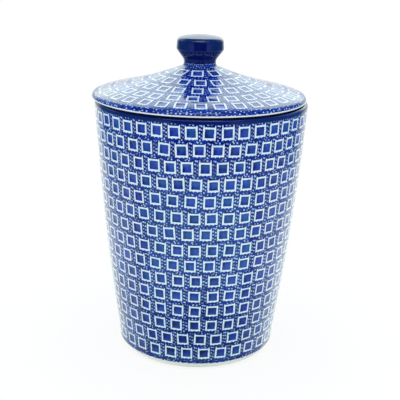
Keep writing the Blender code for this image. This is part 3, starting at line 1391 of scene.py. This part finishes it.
@dataclass
class Studio:
    """White sweep, soft even light, and the camera."""

    camera_place: tuple[float, float, float] = (0.00078, -0.55979, 0.27197)
    camera_pitch: float = 0.29688
    camera_roll: float = 0.025356
    clip_start: float = 0.01
    focal_pixels: float = 859.10
    frame_pixels: float = 400.0
    sensor_millimetres: float = 36.0
    floor_half: float = 4.0
    floor_grey: str = "D6D6D6"
    shadow_share: float = 0.22
    white_strength: float = 1.09
    ambient: Colour = linear("F9FBFF", 1.16)
    front: Colour = linear("BCF2FF", 0.48)
    beside: Colour = linear("66C8FF", 0.45)
    ceiling: Colour = linear("81E4FF", 0.45)
    # The table, the level, the backdrop and its hazy middle, by the angle to the side.
    table: tuple[Stage, ...] = (
        Stage(62, 104, linear("DAEFFF", 1.45)),
        Stage(112, 140, linear("F8FFF6", 1.47)),
        Stage(158, 174, linear("F8FFF8", 1.10)),
    )
    level: tuple[Stage, ...] = (Stage(40, 70, beside), Stage(125, 150, linear("FAFFFA", 1.06)))
    backdrop: Stage = Stage(128, 158, linear("F2FFE8", 2.60))
    haze: Stage = Stage(165, 174, linear("E2F0FA", 2.05))
    # The angles upwards over which one of these gives way to the next.
    table_end: tuple[float, float] = (-25, -15)
    level_end: tuple[float, float] = (4, 17)
    haze_end: tuple[float, float] = (22, 31)
    backdrop_end: tuple[float, float] = (39, 47)
    climb_left: float = 9.0
    climb_right: float = 5.5
    climb_range: tuple[float, float] = (122.0, 145.0)
    patches: tuple[Patch, ...] = (
        Patch(-67, 67, -36.5, -24, 7, linear("A0E8FF", 1.60)),
        Patch(-31, 31, -22, 28, 4, linear("405070", 0.10)),
        Patch(-42, 42, 63, 74, 3, linear("E6F4FF", 6.0)),
        Patch(-60, 60, 48, 57, 3, linear("DDEEFF", 2.5)),
        Patch(120, 142, -34, -23, 6, linear("F6FFFA", 2.00)),
        Patch(108, 150, -60, -36, 5, linear("E0F0FF", 0.80)),
        Patch(-142, -106, 16, 44, 8, linear("A8DCF4", 1.60)),
        Patch(108, 142, 18, 44, 8, linear("A0C8F4", 1.10)),
    )

    def camera(self) -> Object:
        """Makes the camera at the photograph's viewing angle and puts it in charge.

        Returns:
            The camera.
        """
        lens = bpy.data.cameras.new("camera")
        lens.sensor_width = self.sensor_millimetres
        lens.lens = self.focal_pixels / self.frame_pixels * self.sensor_millimetres
        lens.clip_start = self.clip_start
        camera = bpy.data.objects.new("camera", lens)
        bpy.context.scene.collection.objects.link(camera)
        tilt = Matrix.Rotation(math.pi / 2 - self.camera_pitch, 4, "X")
        roll = Matrix.Rotation(self.camera_roll, 4, "Z")
        camera.matrix_world = Matrix.Translation(self.camera_place) @ tilt @ roll
        bpy.context.scene.camera = camera
        return camera

    def floor(self) -> Object:
        """Makes the white floor.

        A camera ray sees it mostly as plain white, with a share of real shading left in, which
        keeps the jar's faint contact shadow.

        Returns:
            The floor.
        """
        half = self.floor_half
        corners = [(-half, -half, 0), (half, -half, 0), (half, half, 0), (-half, half, 0)]
        mesh = bpy.data.meshes.new("floor")
        mesh.from_pydata(corners, [], [(0, 1, 2, 3)])
        material = bpy.data.materials.new("white_paper_sweep")
        add = Shading(material).add
        matt = add("BsdfDiffuse", self.floor_grey)
        white = add("Emission", (1, 1, 1, 1), self.white_strength)
        share = add("Math MULTIPLY", add("LightPath", output="Is Camera Ray"), 1 - self.shadow_share)
        add("OutputMaterial", add("MixShader", share, matt, white))
        mesh.materials.append(material)
        floor = bpy.data.objects.new("floor", mesh)
        bpy.context.scene.collection.objects.link(floor)
        # The glaze mirrors the studio below the horizon, which the world gives, and not the paper.
        floor.visible_glossy = False
        return floor

    def world(self) -> World:
        """Makes the world: white to the camera, even to the clay, and a studio to the glaze.

        Mirrored rays see a studio whose light depends on direction alone. Below lies a table, dim
        in front and bright at the sides and behind. Level with the jar it is dim, and higher up
        behind the jar hangs a bright backdrop under a dark ceiling, hazier low down in its middle.
        Windows, lamps and a dark stand in front are patches on top.

        Returns:
            The world.
        """
        world = bpy.data.worlds.new("studio")
        add = Shading(world).add
        split = add("SeparateXYZ", add("TexCoord", output="Generated")).node.outputs
        elevation = add("Math DEGREES", add("Math ARCSINE", split[2]))
        turn = add("Math DEGREES", add("Math ARCTAN2", split[0], add("Math MULTIPLY", split[1], -1.0)))
        side = add("Math ABSOLUTE", turn)

        def stages(angle: NodeSocket, light: Colour | NodeSocket, *changes: Stage) -> NodeSocket:
            """Light that changes in stages as an angle grows.

            Args:
                angle: the angle, in degrees.
                light: the light at first.
                changes: the stages, in the order of their angles.

            Returns:
                The light.
            """
            for stage in changes:
                share = add("MapRange", angle, stage.first, stage.last, **EASED)
                light = add("Mix", share, light, stage.light, **BLEND)
            return light

        # The table's far edge stands higher as the jar sees it, and most of all on the left.
        left, right = (
            add("MapRange", turn, *(way * angle for angle in self.climb_range), 0.0, climb)
            for way, climb in ((-1, self.climb_left), (1, self.climb_right))
        )
        from_edge = add("Math SUBTRACT", elevation, add("Math ADD", left, right))
        high = stages(side, self.beside, self.backdrop)
        studio = stages(
            elevation,
            stages(from_edge, stages(side, self.front, *self.table),
                   Stage(*self.table_end, stages(side, self.front, *self.level))),
            Stage(*self.level_end, stages(side, high, self.haze)),
            Stage(*self.haze_end, high),
            Stage(*self.backdrop_end, self.ceiling),
        )
        for patch in self.patches:
            share = 1.0
            half = patch.soft / 2
            for angle, edge, inwards in ((turn, patch.left, half), (turn, patch.right, -half),
                                         (elevation, patch.low, half), (elevation, patch.high, -half)):
                within = add("MapRange", angle, edge - inwards, edge + inwards, **EASED)
                share = add("Math MULTIPLY", share, within)
            studio = add("Mix", share, studio, patch.light, **BLEND)

        path = add("LightPath").node.outputs
        seen = add("Math MAXIMUM", path["Is Camera Ray"], path["Is Transmission Ray"])
        light = self.ambient
        for share, other in ((path["Is Glossy Ray"], studio), (seen, (1.0, 1.0, 1.0, 1.0))):
            light = add("Mix", share, light, other, **BLEND)
        add("OutputWorld", add("Background", light))
        bpy.context.scene.world = world
        return world


def main() -> None:
    logging.basicConfig(level=logging.INFO, format="%(name)s: %(message)s")
    bpy.context.scene.view_settings.view_transform = "Standard"
    studio = Studio()
    studio.camera()
    studio.floor()
    studio.world()

    clay = BareClay().build()
    inner = PlainGlaze(name="clear_glaze_on_pale_stoneware", main="E9E6DA", patch="DDDCD2").build()
    navy = PlainGlaze(name="navy_gloss_glaze", main="0A1A66", patch="071250").build()
    body = JarBody()
    lid = Lid()
    body_glaze = BodyGlaze(name="stamped_stoneware_glaze", stamp=body.stamp, rows=len(body.squares))
    lid_glaze = LidGlaze(name="stamped_lid_stoneware_glaze", stamp=lid.stamp, rows=len(lid.squares))
    pieces = [
        body.build([body_glaze.build(), inner, clay]),
        lid.build([lid_glaze.build(), inner, clay]),
        Knob().build([navy, clay]),
    ]
    for piece in pieces:
        log.info("%s: %d points, %d faces", piece.name, len(piece.data.vertices), len(piece.data.polygons))

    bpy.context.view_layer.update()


if __name__ == "__main__":
    main()
